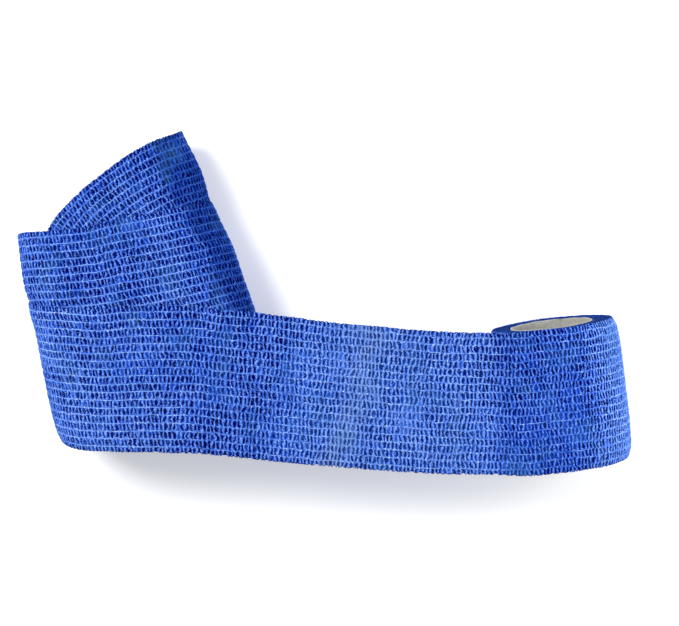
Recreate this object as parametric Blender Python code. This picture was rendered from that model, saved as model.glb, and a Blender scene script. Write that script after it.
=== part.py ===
# A 2 inch cohesive bandage, partly unwound. One continuous band of crinkled elastic cloth:
# it makes two turns and the start of a third round a hand-sized hollow form, crosses open
# air as a strip, and runs onto what is left of the roll, wound on a plain paper tube.
# It lies on a surface: the wrapped end on its palm side, the roll on its own side.
#
# Units are metres, +Z up. The origin is under the middle of the bounding box, on the surface.
# X runs along the strip from the wrapped end to the roll, Y is along the hollow form and
# (nearly) along the roll's axis, towards the finger end of the form.

import math

import bmesh
import bpy
import numpy as np
from mathutils import Matrix

# ---------------------------------------------------------------- driving sizes
BAND_THICK = 0.0010      # one turn of crinkled cloth
TURN_PITCH = 0.0014      # from one turn to the turn over it, so turns lie 0.4 mm apart
COLUMNS = 7              # points across the band's width

ROLL_RADIUS = 0.0232     # outside of the wound roll at its two ends
ROLL_CROWN = 0.0011      # how much fatter it is between them: the cut edges draw in
ROLL_LENGTH = 0.0508     # along its axis: the band's nominal width, 2 inches
ROLL_TILT = math.radians(7.2)     # the axis leans this far from Y, in plan
ROLL_X, ROLL_Y = 0.0843, -0.0343  # middle of the roll, in plan
FLAT_DEPTH = 0.0008      # how far the soft roll is pressed in where it lies
AXIS_HEIGHT = ROLL_RADIUS + ROLL_CROWN - FLAT_DEPTH
STRIP_SLOPE = math.radians(3.0)   # rise of the strip where it meets the roll
NIP_RUN = 0.0048         # from the tangent line back to where the roll's side of the nip ends
NIP_UNDER, NIP_OVER = 0.0042, 0.0034   # the same on the strip's under face and upper face
ROLL_STEPS = 68

CORE_OUTER = 0.0148
CORE_INNER = 0.0140
CORE_LENGTH = 0.0506
CORE_GAP = 0.0003
CORE_STEPS = 64

FORM_FLOOR = TURN_PITCH + BAND_THICK   # the hollow form's underside, above two turns of cloth
FOLD_START, FOLD_END = 0.98, 1.085     # part of each turn over which the band climbs one pitch

# ---------------------------------------------------------------- the hollow form
# One row for each cross-section of the hand-sized space, in millimetres:
# y along the form, x of its left and right side, and its height.
FORM_COLUMNS = ("y", "left", "right", "height")
FORM = (
    (66.0, -110.0, -55.0, 24.0),
    (58.0, -110.4, -51.8, 25.0),
    (44.0, -110.8, -45.2, 26.5),
    (30.0, -110.4, -41.2, 28.0),
    (18.0, -109.2, -35.6, 29.5),
    (4.0, -107.2, -30.8, 31.5),
    (-2.0, -105.2, -28.6, 32.1),
    (-10.0, -102.6, -26.2, 32.6),
    (-24.0, -99.8, -23.2, 33.4),
    (-40.0, -96.6, -21.0, 34.3),
    (-58.0, -91.6, -19.5, 35.2),
)
# How square the section's quarters are (2 is an ellipse): back left, back right, palm side.
SQUARE_BACK_LEFT, SQUARE_BACK_RIGHT, SQUARE_PALM = 2.5, 2.15, 3.2
PALM_PRESS = 0.96        # the palm side is pressed flat at this share of its depth
SECTION_STEPS = 720

# ---------------------------------------------------------------- the band's way round the form
# One row for each place along the band. Whole numbers of "turn" are at the form's left side,
# halves at its right side; the first half of a turn is on the back, the second on the palm
# side. up_y is the edge nearer the finger end; low_turn and low_y place the other edge.
PATH_COLUMNS = ("turn", "up_y", "low_turn", "low_y")
PATH = (
    (0.093, 22.0, 0.235, -16.0),    # free end, hidden under the second turn
    (0.119, 27.4, 0.258, -11.5),
    (0.155, 33.4, 0.285, -7.0),
    (0.192, 38.7, 0.312, -3.0),
    (0.236, 44.0, 0.342, 0.6),
    (0.326, 52.1, 0.388, 5.2),
    (0.400, 56.7, 0.427, 8.0),
    (0.450, 58.6, 0.460, 9.6),
    (0.500, 59.8, 0.500, 10.5),     # right side
    (0.550, 57.2, 0.550, 8.2),
    (0.650, 47.5, 0.650, -2.0),
    (0.750, 37.0, 0.750, -12.6),    # middle of the palm side
    (0.850, 27.0, 0.850, -21.4),
    (0.900, 22.8, 0.900, -24.6),
    (0.950, 21.0, 0.950, -26.4),
    (1.000, 22.0, 1.000, -27.2),    # left side
    (1.058, 23.8, 1.058, -26.9),
    (1.111, 24.6, 1.111, -26.4),
    (1.194, 26.1, 1.194, -24.9),
    (1.235, 27.9, 1.235, -23.9),
    (1.329, 30.7, 1.329, -20.8),
    (1.415, 33.3, 1.415, -17.5),
    (1.471, 34.5, 1.471, -15.6),
    (1.500, 34.6, 1.500, -15.2),    # right side
    (1.550, 32.4, 1.550, -17.6),
    (1.650, 23.0, 1.650, -27.0),
    (1.750, 13.0, 1.750, -36.0),    # middle of the palm side
    (1.850, 4.6, 1.850, -43.2),
    (1.920, 0.4, 1.920, -46.4),
    (2.000, -1.8, 2.000, -48.4),    # left side
    (2.059, -2.3, 2.059, -51.9),
    (2.094, -2.3, 2.094, -53.4),
    (2.172, -2.9, 2.145, -53.4),
    (2.245, -1.5, 2.224, -53.2),
    (2.310, -1.5, 2.311, -53.6),
)
FORM_UNTIL = 2.255       # the third turn leaves the form here and becomes the strip
ROUND_STEPS, FLAT_STEPS = 7, 10   # sections to each quarter-side and each flat of a turn
ROUND_SHARE = 0.09       # how far, in turns, the close sections reach from a side

# One row for each section of the strip, in millimetres: both edges, on its upper face.
STRIP_COLUMNS = ("up_x", "up_y", "up_z", "low_x", "low_y", "low_z")
STRIP = (
    (-56.4, -1.5, 38.7, -57.3, -53.3, 41.3),
    (-44.4, -1.7, 38.9, -44.6, -53.7, 41.2),
    (-36.5, -3.0, 39.1, -36.8, -54.4, 41.2),
    (-23.8, -3.8, 39.6, -25.8, -55.6, 41.3),
    (-12.3, -5.2, 40.3, -14.9, -56.5, 41.7),
    (-1.8, -6.6, 41.0, -5.0, -57.4, 42.1),
    (8.8, -7.6, 41.9, 5.6, -58.3, 42.7),
    (21.8, -8.6, 43.1, 19.0, -59.1, 43.6),
    (34.4, -9.6, 43.7, 32.4, -60.0, 44.1),
    (45.3, -10.2, 44.5, 44.4, -60.5, 44.8),
    (54.4, -10.5, 45.0, 55.7, -60.7, 45.2),
)
STRIP_SECTIONS = 26
MM = 0.001

# The tables' own origin is this far from the middle of the bounding box, in plan.
MIDDLE_X, MIDDLE_Y = -0.0004, -0.0013


# ---------------------------------------------------------------- small helpers
def smooth_through(x, xs, ys):
    """A monotone cubic through the points (xs, ys), xs rising."""
    xs, ys = np.asarray(xs, float), np.asarray(ys, float)
    h = np.diff(xs)
    d = np.diff(ys) / h
    m = np.zeros_like(ys)
    m[0], m[-1] = d[0], d[-1]
    for i in range(1, len(xs) - 1):
        if d[i - 1] * d[i] > 0:
            w1, w2 = 2 * h[i] + h[i - 1], h[i] + 2 * h[i - 1]
            m[i] = (w1 + w2) / (w1 / d[i - 1] + w2 / d[i])
    x = np.clip(np.asarray(x, float), xs[0], xs[-1])
    i = np.clip(np.searchsorted(xs, x) - 1, 0, len(xs) - 2)
    t = (x - xs[i]) / h[i]
    return (
        (1 + 2 * t) * (1 - t) ** 2 * ys[i]
        + t * (1 - t) ** 2 * h[i] * m[i]
        + t * t * (3 - 2 * t) * ys[i + 1]
        + t * t * (t - 1) * h[i] * m[i + 1]
    )


def column(table, names, name):
    """One named column of a table."""
    return np.array([row[names.index(name)] for row in table], float)


def signed_power(v, e):
    return np.sign(v) * np.abs(v) ** e


def lerp(a, b, t):
    return a + (b - a) * t


# ---------------------------------------------------------------- the form
def form_section(y):
    """The form's closed outline at y (metres): x, z and the share of a turn at each point."""
    order = np.argsort(column(FORM, FORM_COLUMNS, "y"))
    ys = column(FORM, FORM_COLUMNS, "y")[order] * MM
    left, right, height = (
        float(smooth_through(y, ys, column(FORM, FORM_COLUMNS, n)[order] * MM))
        for n in ("left", "right", "height")
    )
    phi = np.linspace(0.0, 2.0 * math.pi, SECTION_STEPS + 1)
    c, s = np.cos(phi), np.sin(phi)
    back, on_left = s >= 0, c > 0
    square = np.where(back, np.where(on_left, SQUARE_BACK_LEFT, SQUARE_BACK_RIGHT), SQUARE_PALM)
    depth = np.where(back, height / 2, height / 2 / PALM_PRESS)
    x = (left + right) / 2 - (right - left) / 2 * signed_power(c, 2 / square)
    z = FORM_FLOOR + height / 2 + depth * signed_power(s, 2 / square)
    z = np.maximum(z, FORM_FLOOR)
    run = np.concatenate([[0.0], np.cumsum(np.hypot(np.diff(x), np.diff(z)))])
    half = SECTION_STEPS // 2
    share = np.where(
        np.arange(SECTION_STEPS + 1) <= half,
        0.5 * run / run[half],
        0.5 + 0.5 * (run - run[half]) / (run[-1] - run[half]),
    )
    return x, z, share


_sections = {}


def on_form(turn, y, lift):
    """The point at this turn and y, lifted off the form by lift."""
    key = round(float(y), 6)
    if key not in _sections:
        _sections[key] = form_section(key)
    x, z, share = _sections[key]
    f = turn % 1.0

    def at(g):
        return np.interp(g % 1.0, share, x), np.interp(g % 1.0, share, z)

    (x0, z0), (x1, z1) = at(f - 0.012), at(f + 0.012)
    run = math.hypot(x1 - x0, z1 - z0)
    px, pz = at(f)
    return np.array([px - (z1 - z0) / run * lift, y, pz + (x1 - x0) / run * lift])


def climb(turn):
    """How far the band's inner face is off the form: one pitch more after each left side."""
    if turn < FOLD_START:
        return 0.0
    k = math.floor(turn - FOLD_START)
    u = min(1.0, (turn - FOLD_START - k) / (FOLD_END - FOLD_START))
    return TURN_PITCH * (k + u * u * (3 - 2 * u))


# ---------------------------------------------------------------- the band's middle surface
def turns_on_form():
    """Where along the band its sections lie: the same places in each turn, so that turns
    stay parallel, and closer together round the form's two sides."""
    half = [k * ROUND_SHARE / ROUND_STEPS for k in range(ROUND_STEPS)]
    half += [
        lerp(ROUND_SHARE, 0.5 - ROUND_SHARE, k / FLAT_STEPS) for k in range(FLAT_STEPS + 1)
    ]
    half += [0.5 - k * ROUND_SHARE / ROUND_STEPS for k in range(ROUND_STEPS - 1, 0, -1)]
    start = PATH[0][0]
    places = [turn / 2 + share for turn in range(5) for share in half]
    inside = [t for t in places if start + 0.006 < t < FORM_UNTIL - 0.006]
    return [start, *inside, FORM_UNTIL]


def form_grid():
    keys = column(PATH, PATH_COLUMNS, "turn")
    rows = []
    for t in turns_on_form():
        up_y, low_turn, low_y = (
            float(smooth_through(t, keys, column(PATH, PATH_COLUMNS, n)))
            for n in ("up_y", "low_turn", "low_y")
        )
        row = []
        for j in range(COLUMNS):
            v = j / (COLUMNS - 1)
            here = lerp(t, low_turn, v)
            row.append(on_form(here, lerp(up_y, low_y, v) * MM, climb(t) + BAND_THICK / 2))
        rows.append(row)
    return np.array(rows)


def roll_frame():
    """Axis direction, sideways direction and centre of the roll."""
    axis = np.array([-math.sin(ROLL_TILT), math.cos(ROLL_TILT), 0.0])
    side = np.array([math.cos(ROLL_TILT), math.sin(ROLL_TILT), 0.0])
    centre = np.array([ROLL_X, ROLL_Y, AXIS_HEIGHT])
    return axis, side, centre


def crown(v):
    """How much fatter than its ends the roll is, v of the way along it."""
    return ROLL_CROWN * (1.0 - abs(2.0 * v - 1.0) ** 4)


def roll_point(v, across, up):
    """A point v of the way along the roll from its upper end, in its own cross-section."""
    axis, side, centre = roll_frame()
    return centre + axis * (0.5 - v) * ROLL_LENGTH + side * across + np.array([0.0, 0.0, up])


def strip_normal():
    return -math.sin(STRIP_SLOPE), math.cos(STRIP_SLOPE)


def tangent_section(depth, back):
    """The strip's end, back from its tangent line and depth below its upper face."""
    nx, nz = strip_normal()
    out = []
    for j in range(COLUMNS):
        v = j / (COLUMNS - 1)
        radius = ROLL_RADIUS + crown(v) - depth
        out.append(roll_point(v, nx * radius - nz * back, nz * radius + nx * back))
    return np.array(out)


def strip_grid(form_rows):
    """The strip from the form to the roll: a smooth curve through its rows, column by column."""
    table = [[row[STRIP_COLUMNS.index(n)] * MM for n in STRIP_COLUMNS] for row in STRIP]
    knots = [form_rows[-3], form_rows[-1]]
    for ux, uy, uz, lx, ly, lz in table:
        up, low = np.array([ux, uy, uz]), np.array([lx, ly, lz])
        section = [lerp(up, low, j / (COLUMNS - 1)) for j in range(COLUMNS)]
        knots.append(np.array(section) - np.array([0.0, 0.0, BAND_THICK / 2]))
    knots.append(tangent_section(BAND_THICK / 2, NIP_UNDER + 0.010))
    knots.append(tangent_section(BAND_THICK / 2, NIP_UNDER))
    knots = np.array(knots)
    mids = knots.mean(axis=1)
    s = np.concatenate([[0.0], np.cumsum(np.linalg.norm(np.diff(mids, axis=0), axis=1))])
    at = np.linspace(s[1], s[-1], STRIP_SECTIONS + 1)[1:]
    out = np.zeros((len(at), COLUMNS, 3))
    for j in range(COLUMNS):
        for k in range(3):
            out[:, j, k] = catmull_rom(at, s, knots[:, j, k])
    return out


def catmull_rom(x, xs, ys):
    """A cubic through the points with central slopes."""
    m = np.gradient(ys, xs)
    h = np.diff(xs)
    i = np.clip(np.searchsorted(xs, x) - 1, 0, len(xs) - 2)
    t = (x - xs[i]) / h[i]
    return (
        (1 + 2 * t) * (1 - t) ** 2 * ys[i]
        + t * (1 - t) ** 2 * h[i] * m[i]
        + t * t * (3 - 2 * t) * ys[i + 1]
        + t * t * (t - 1) * h[i] * m[i + 1]
    )


def grid_normals(grid):
    """Unit normals of the middle surface, away from the form."""
    along = np.gradient(grid, axis=0)
    across = np.gradient(grid, axis=1)
    n = np.cross(across, along)
    return n / np.linalg.norm(n, axis=2, keepdims=True)


# ---------------------------------------------------------------- the wound roll
def roll_outline():
    """The roll's outside at its ends, from the tangent line round to the nip: angle and
    radius. It is a spiral that ends one thickness lower, where the strip leaves it."""
    start = -STRIP_SLOPE
    inner = ROLL_RADIUS - BAND_THICK
    end = 2 * math.pi - STRIP_SLOPE - math.atan2(NIP_RUN, inner)
    out = []
    for k in range(ROLL_STEPS + 1):
        u = k / ROLL_STEPS
        out.append((lerp(start, end, u), lerp(ROLL_RADIUS, inner, u)))
    return out


def add_quad(bm, a, b, c, d):
    bm.faces.new((a, b, c, d))


def build_band():
    form_rows = form_grid()
    strip_rows = strip_grid(form_rows)
    middle = np.concatenate([form_rows, strip_rows])
    normals = grid_normals(middle)
    outer = middle + normals * BAND_THICK / 2
    inner = middle - normals * BAND_THICK / 2
    outer[-1] = tangent_section(0.0, NIP_OVER)
    inner[-1] = tangent_section(BAND_THICK, NIP_UNDER)

    bm = bmesh.new()
    top = [[bm.verts.new(p) for p in row] for row in outer]
    under = [[bm.verts.new(p) for p in row] for row in inner]

    # The roll's outside, one row of points for each step round it.
    wound = []
    for angle, radius in roll_outline():
        row = []
        for j in range(COLUMNS):
            v = j / (COLUMNS - 1)
            r = radius + crown(v)
            up = max(r * math.cos(angle), -AXIS_HEIGHT)
            row.append(bm.verts.new(roll_point(v, r * math.sin(angle), up)))
        wound.append(row)

    # Upper and under face of the band, its two edges and its free end.
    for i in range(len(top) - 1):
        for j in range(COLUMNS - 1):
            add_quad(bm, top[i][j], top[i][j + 1], top[i + 1][j + 1], top[i + 1][j])
            add_quad(bm, under[i][j + 1], under[i][j], under[i + 1][j], under[i + 1][j + 1])
        add_quad(bm, top[i][0], top[i + 1][0], under[i + 1][0], under[i][0])
        add_quad(bm, top[i + 1][-1], top[i][-1], under[i][-1], under[i + 1][-1])
    for j in range(COLUMNS - 1):
        add_quad(bm, top[0][j + 1], top[0][j], under[0][j], under[0][j + 1])

    # Round the roll: from the strip's upper face, all the way, to the nip and its under face.
    around = [top[-1]] + wound + [under[-1]]
    for i in range(len(around) - 1):
        for j in range(COLUMNS - 1):
            add_quad(bm, around[i][j], around[i][j + 1], around[i + 1][j + 1], around[i + 1][j])

    # Bore and end faces.
    bore = CORE_OUTER + CORE_GAP
    first = -STRIP_SLOPE - math.atan2(NIP_OVER, ROLL_RADIUS)
    count = len(around)
    rims = []
    for v in (0.0, 1.0):
        ring = []
        for i in range(count):
            angle = first + 2 * math.pi * i / count
            ring.append(bm.verts.new(roll_point(v, bore * math.sin(angle), bore * math.cos(angle))))
        rims.append(ring)
    for i in range(count):
        n = (i + 1) % count
        add_quad(bm, around[i][0], around[n][0], rims[0][n], rims[0][i])
        add_quad(bm, around[n][-1], around[i][-1], rims[1][i], rims[1][n])
        add_quad(bm, rims[0][i], rims[0][n], rims[1][n], rims[1][i])

    bmesh.ops.recalc_face_normals(bm, faces=bm.faces)
    mesh = bpy.data.meshes.new("bandage")
    bm.to_mesh(mesh)
    bm.free()
    return mesh


# ---------------------------------------------------------------- the paper tube
def build_core():
    bm = bmesh.new()
    rings = []
    for radius, v in (
        (CORE_OUTER, 0.0),
        (CORE_OUTER, 1.0),
        (CORE_INNER, 1.0),
        (CORE_INNER, 0.0),
    ):
        share = 0.5 + (v - 0.5) * CORE_LENGTH / ROLL_LENGTH
        rings.append(
            [
                bm.verts.new(
                    roll_point(
                        share,
                        radius * math.sin(2 * math.pi * k / CORE_STEPS),
                        radius * math.cos(2 * math.pi * k / CORE_STEPS),
                    )
                )
                for k in range(CORE_STEPS)
            ]
        )
    for r in range(4):
        a, b = rings[r], rings[(r + 1) % 4]
        for k in range(CORE_STEPS):
            n = (k + 1) % CORE_STEPS
            add_quad(bm, a[k], a[n], b[n], b[k])
    bmesh.ops.recalc_face_normals(bm, faces=bm.faces)
    mesh = bpy.data.meshes.new("core")
    bm.to_mesh(mesh)
    bm.free()
    return mesh


# ---------------------------------------------------------------- materials and objects
def principled(name, colour, roughness, metallic):
    material = bpy.data.materials.new(name)
    material.use_nodes = True
    shader = next(n for n in material.node_tree.nodes if n.type == "BSDF_PRINCIPLED")
    shader.inputs["Base Color"].default_value = (*colour, 1.0)
    shader.inputs["Roughness"].default_value = roughness
    shader.inputs["Metallic"].default_value = metallic
    return material


def place(name, mesh, material):
    mesh.transform(Matrix.Translation((-MIDDLE_X, -MIDDLE_Y, 0.0)))
    mesh.materials.append(material)
    thing = bpy.data.objects.new(name, mesh)
    bpy.context.scene.collection.objects.link(thing)
    return thing


def main():
    for thing in list(bpy.data.objects):
        bpy.data.objects.remove(thing, do_unlink=True)

    cloth = principled("crinkled_blue_cloth", (0.045, 0.150, 0.640), 0.85, 0.0)
    paper = principled("pale_paper_tube", (0.62, 0.62, 0.58), 0.80, 0.0)

    band = place("bandage", build_band(), cloth)
    band.data.shade_smooth()
    band.data.set_sharp_from_angle(angle=math.radians(40))
    core = place("core", build_core(), paper)
    core.data.shade_smooth()
    core.data.set_sharp_from_angle(angle=math.radians(40))


main()
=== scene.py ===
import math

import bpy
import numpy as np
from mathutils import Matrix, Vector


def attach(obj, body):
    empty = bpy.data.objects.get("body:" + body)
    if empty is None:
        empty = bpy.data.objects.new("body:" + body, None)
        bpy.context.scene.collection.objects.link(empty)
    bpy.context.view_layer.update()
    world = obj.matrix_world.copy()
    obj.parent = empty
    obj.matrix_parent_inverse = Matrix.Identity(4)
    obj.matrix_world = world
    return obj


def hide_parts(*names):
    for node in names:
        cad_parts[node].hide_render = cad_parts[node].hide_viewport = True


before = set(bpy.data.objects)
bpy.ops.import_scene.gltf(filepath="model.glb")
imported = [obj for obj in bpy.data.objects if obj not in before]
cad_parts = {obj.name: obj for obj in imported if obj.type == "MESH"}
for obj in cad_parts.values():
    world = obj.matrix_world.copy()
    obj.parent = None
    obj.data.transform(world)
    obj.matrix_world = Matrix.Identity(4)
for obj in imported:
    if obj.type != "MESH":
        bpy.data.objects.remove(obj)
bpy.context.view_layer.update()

# The looks of a 2 inch cohesive bandage, partly unwound: two turns and the start of a third
# round an open hollow form, a strip across open air, and what is left of the roll on its
# paper tube. The band is thin non-woven cloth gathered into small crosswise puckers between
# lengthwise elastic threads. All of that is modelled in the mesh of its sheets; the finest
# fibres are bump. Units are metres, +Z up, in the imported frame.

MM = 0.001

# ---------------------------------------------------------------- the band's course, as in CAD
BAND_THICK = 0.0010
TURN_PITCH = 0.0014

ROLL_RADIUS = 0.0232
ROLL_CROWN = 0.0011
ROLL_LENGTH = 0.0508
ROLL_TILT = math.radians(7.2)
ROLL_X, ROLL_Y = 0.0843, -0.0343
FLAT_DEPTH = 0.0008
AXIS_HEIGHT = ROLL_RADIUS + ROLL_CROWN - FLAT_DEPTH
STRIP_SLOPE = math.radians(3.0)
NIP_RUN = 0.0048
NIP_UNDER = 0.0042

CORE_OUTER = 0.0148
CORE_INNER = 0.0140
CORE_LENGTH = 0.0506

FORM_FLOOR = TURN_PITCH + BAND_THICK
FOLD_START, FOLD_END = 0.98, 1.085

FORM_COLUMNS = ("y", "left", "right", "height")
FORM = (
    (66.0, -110.0, -55.0, 24.0),
    (58.0, -110.4, -51.8, 25.0),
    (44.0, -110.8, -45.2, 26.5),
    (30.0, -110.4, -41.2, 28.0),
    (18.0, -109.2, -35.6, 29.5),
    (4.0, -107.2, -30.8, 31.5),
    (-2.0, -105.2, -28.6, 32.1),
    (-10.0, -102.6, -26.2, 32.6),
    (-24.0, -99.8, -23.2, 33.4),
    (-40.0, -96.6, -21.0, 34.3),
    (-58.0, -91.6, -19.5, 35.2),
)
SQUARE_BACK_LEFT, SQUARE_BACK_RIGHT, SQUARE_PALM = 2.5, 2.15, 3.2
PALM_PRESS = 0.96
SECTION_STEPS = 720

PATH_COLUMNS = ("turn", "up_y", "low_turn", "low_y")
PATH = (
    (0.093, 22.0, 0.235, -16.0),
    (0.119, 27.4, 0.258, -11.5),
    (0.155, 33.4, 0.285, -7.0),
    (0.192, 38.7, 0.312, -3.0),
    (0.236, 44.0, 0.342, 0.6),
    (0.326, 52.1, 0.388, 5.2),
    (0.400, 56.7, 0.427, 8.0),
    (0.450, 58.6, 0.460, 9.6),
    (0.500, 59.8, 0.500, 10.5),
    (0.550, 57.2, 0.550, 8.2),
    (0.650, 47.5, 0.650, -2.0),
    (0.750, 37.0, 0.750, -12.6),
    (0.850, 27.0, 0.850, -21.4),
    (0.900, 22.8, 0.900, -24.6),
    (0.950, 21.0, 0.950, -26.4),
    (1.000, 22.0, 1.000, -27.2),
    (1.058, 23.8, 1.058, -26.9),
    (1.111, 24.6, 1.111, -26.4),
    (1.194, 26.1, 1.194, -24.9),
    (1.235, 27.9, 1.235, -23.9),
    (1.329, 30.7, 1.329, -20.8),
    (1.415, 33.3, 1.415, -17.5),
    (1.471, 34.5, 1.471, -15.6),
    (1.500, 34.6, 1.500, -15.2),
    (1.550, 32.4, 1.550, -17.6),
    (1.650, 23.0, 1.650, -27.0),
    (1.750, 13.0, 1.750, -36.3),
    (1.850, 4.6, 1.850, -44.6),
    (1.920, 0.4, 1.920, -48.6),
    (2.000, -1.8, 2.000, -51.0),
    (2.059, -2.3, 2.059, -52.9),
    (2.094, -2.3, 2.094, -53.4),
    (2.172, -2.9, 2.145, -53.4),
    (2.245, -1.5, 2.224, -53.2),
    (2.310, -1.5, 2.311, -53.6),
)
FORM_UNTIL = 2.255
ROUND_STEPS, FLAT_STEPS = 7, 10
ROUND_SHARE = 0.09

STRIP_COLUMNS = ("up_x", "up_y", "up_z", "low_x", "low_y", "low_z")
STRIP = (
    (-56.4, -1.5, 38.7, -57.3, -53.3, 41.3),
    (-44.4, -1.7, 38.9, -44.6, -53.7, 41.2),
    (-36.5, -3.0, 39.1, -36.8, -54.4, 41.2),
    (-23.8, -3.8, 39.6, -25.8, -55.6, 41.3),
    (-12.3, -5.2, 40.3, -14.9, -56.5, 41.7),
    (-1.8, -6.6, 41.0, -5.0, -57.4, 42.1),
    (8.8, -7.6, 41.9, 5.6, -58.3, 42.7),
    (21.8, -8.6, 43.1, 19.0, -59.1, 43.6),
    (34.4, -9.6, 43.7, 32.4, -60.0, 44.1),
    (45.3, -10.2, 44.5, 44.4, -60.5, 44.8),
    (54.4, -10.5, 45.0, 55.7, -60.7, 45.2),
)
MIDDLE = np.array([-0.0004, -0.0013, 0.0])   # the tables' origin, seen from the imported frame's

# ---------------------------------------------------------------- the cloth's own sizes
BAND_WIDTH = 0.0508
THREADS = 18
FIRST_THREAD = 0.0020        # from the cut edge to the first elastic thread
CLOTH = 0.00030              # thickness of the non-woven itself
PIT_DEPTH = 0.00066          # from a pucker's ridge down to its valley
STEP = 0.000255              # between points along the band
THREAD_AT = np.linspace(FIRST_THREAD, BAND_WIDTH - FIRST_THREAD, THREADS)
THREAD_PITCH = THREAD_AT[1] - THREAD_AT[0]


# ---------------------------------------------------------------- small helpers
def smooth_through(x, xs, ys):
    xs, ys = np.asarray(xs, float), np.asarray(ys, float)
    h = np.diff(xs)
    d = np.diff(ys) / h
    m = np.zeros_like(ys)
    m[0], m[-1] = d[0], d[-1]
    for i in range(1, len(xs) - 1):
        if d[i - 1] * d[i] > 0:
            w1, w2 = 2 * h[i] + h[i - 1], h[i] + 2 * h[i - 1]
            m[i] = (w1 + w2) / (w1 / d[i - 1] + w2 / d[i])
    x = np.clip(np.asarray(x, float), xs[0], xs[-1])
    i = np.clip(np.searchsorted(xs, x) - 1, 0, len(xs) - 2)
    t = (x - xs[i]) / h[i]
    return (
        (1 + 2 * t) * (1 - t) ** 2 * ys[i]
        + t * (1 - t) ** 2 * h[i] * m[i]
        + t * t * (3 - 2 * t) * ys[i + 1]
        + t * t * (t - 1) * h[i] * m[i + 1]
    )


def catmull_rom(x, xs, ys):
    """A cubic through ys (rows of any shape) with central slopes."""
    shape = (-1,) + (1,) * (ys.ndim - 1)
    m = np.gradient(ys, xs, axis=0)
    h = np.diff(xs)
    i = np.clip(np.searchsorted(xs, x) - 1, 0, len(xs) - 2)
    t = ((x - xs[i]) / h[i]).reshape(shape)
    hi = h[i].reshape(shape)
    return (
        (1 + 2 * t) * (1 - t) ** 2 * ys[i]
        + t * (1 - t) ** 2 * hi * m[i]
        + t * t * (3 - 2 * t) * ys[i + 1]
        + t * t * (t - 1) * hi * m[i + 1]
    )


def column(table, names, name):
    return np.array([row[names.index(name)] for row in table], float)


def signed_power(v, e):
    return np.sign(v) * np.abs(v) ** e


def lerp(a, b, t):
    return a + (b - a) * t


def smoothstep(a, b, x):
    t = np.clip((x - a) / (b - a), 0.0, 1.0)
    return t * t * (3 - 2 * t)


def unit(v):
    return v / np.maximum(np.linalg.norm(v, axis=-1, keepdims=True), 1e-12)


# ---------------------------------------------------------------- the hollow form
def form_section(y):
    order = np.argsort(column(FORM, FORM_COLUMNS, "y"))
    ys = column(FORM, FORM_COLUMNS, "y")[order] * MM
    left, right, height = (
        float(smooth_through(y, ys, column(FORM, FORM_COLUMNS, n)[order] * MM))
        for n in ("left", "right", "height")
    )
    phi = np.linspace(0.0, 2.0 * math.pi, SECTION_STEPS + 1)
    c, s = np.cos(phi), np.sin(phi)
    back, on_left = s >= 0, c > 0
    square = np.where(back, np.where(on_left, SQUARE_BACK_LEFT, SQUARE_BACK_RIGHT), SQUARE_PALM)
    depth = np.where(back, height / 2, height / 2 / PALM_PRESS)
    x = (left + right) / 2 - (right - left) / 2 * signed_power(c, 2 / square)
    z = FORM_FLOOR + height / 2 + depth * signed_power(s, 2 / square)
    z = np.maximum(z, FORM_FLOOR)
    run = np.concatenate([[0.0], np.cumsum(np.hypot(np.diff(x), np.diff(z)))])
    half = SECTION_STEPS // 2
    share = np.where(
        np.arange(SECTION_STEPS + 1) <= half,
        0.5 * run / run[half],
        0.5 + 0.5 * (run - run[half]) / (run[-1] - run[half]),
    )
    return x, z, share


SECTION_Y = np.linspace(-0.058, 0.066, 249)
SHARE_STEPS = 1440
_x, _z = [], []
for _y in SECTION_Y:
    _sx, _sz, _share = form_section(_y)
    _grid = np.linspace(0.0, 1.0, SHARE_STEPS + 1)
    _x.append(np.interp(_grid, _share, _sx))
    _z.append(np.interp(_grid, _share, _sz))
SECTION_X, SECTION_Z = np.array(_x), np.array(_z)


def section_at(share, y):
    """x and z on the form's outline, for arrays of turn shares and y."""
    u = (share % 1.0) * SHARE_STEPS
    a = np.clip(np.floor(u).astype(int), 0, SHARE_STEPS - 1)
    fu = u - a
    g = np.clip((y - SECTION_Y[0]) / (SECTION_Y[1] - SECTION_Y[0]), 0, len(SECTION_Y) - 1.000001)
    b = g.astype(int)
    fb = g - b
    out = []
    for table in (SECTION_X, SECTION_Z):
        low = lerp(table[b, a], table[b, a + 1], fu)
        high = lerp(table[b + 1, a], table[b + 1, a + 1], fu)
        out.append(lerp(low, high, fb))
    return out


def on_form(turn, y, lift):
    (x0, z0), (x1, z1) = section_at(turn - 0.012, y), section_at(turn + 0.012, y)
    run = np.hypot(x1 - x0, z1 - z0)
    px, pz = section_at(turn, y)
    return np.stack([px - (z1 - z0) / run * lift, y, pz + (x1 - x0) / run * lift], axis=-1)


def climb(turn):
    k = np.maximum(np.floor(turn - FOLD_START), 0.0)
    u = np.clip((turn - FOLD_START - k) / (FOLD_END - FOLD_START), 0.0, 1.0)
    return np.where(turn < FOLD_START, 0.0, TURN_PITCH * (k + u * u * (3 - 2 * u)))


def form_rows(turns, across):
    """The band's middle surface on the form: one row of points for each turn value."""
    keys = column(PATH, PATH_COLUMNS, "turn")
    up_y, low_turn, low_y = (
        smooth_through(turns, keys, column(PATH, PATH_COLUMNS, n))[:, None]
        for n in ("up_y", "low_turn", "low_y")
    )
    here = lerp(turns[:, None], low_turn, across[None, :])
    y = lerp(up_y, low_y, across[None, :]) * MM
    return on_form(here, y, climb(turns)[:, None] + BAND_THICK / 2)


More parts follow.
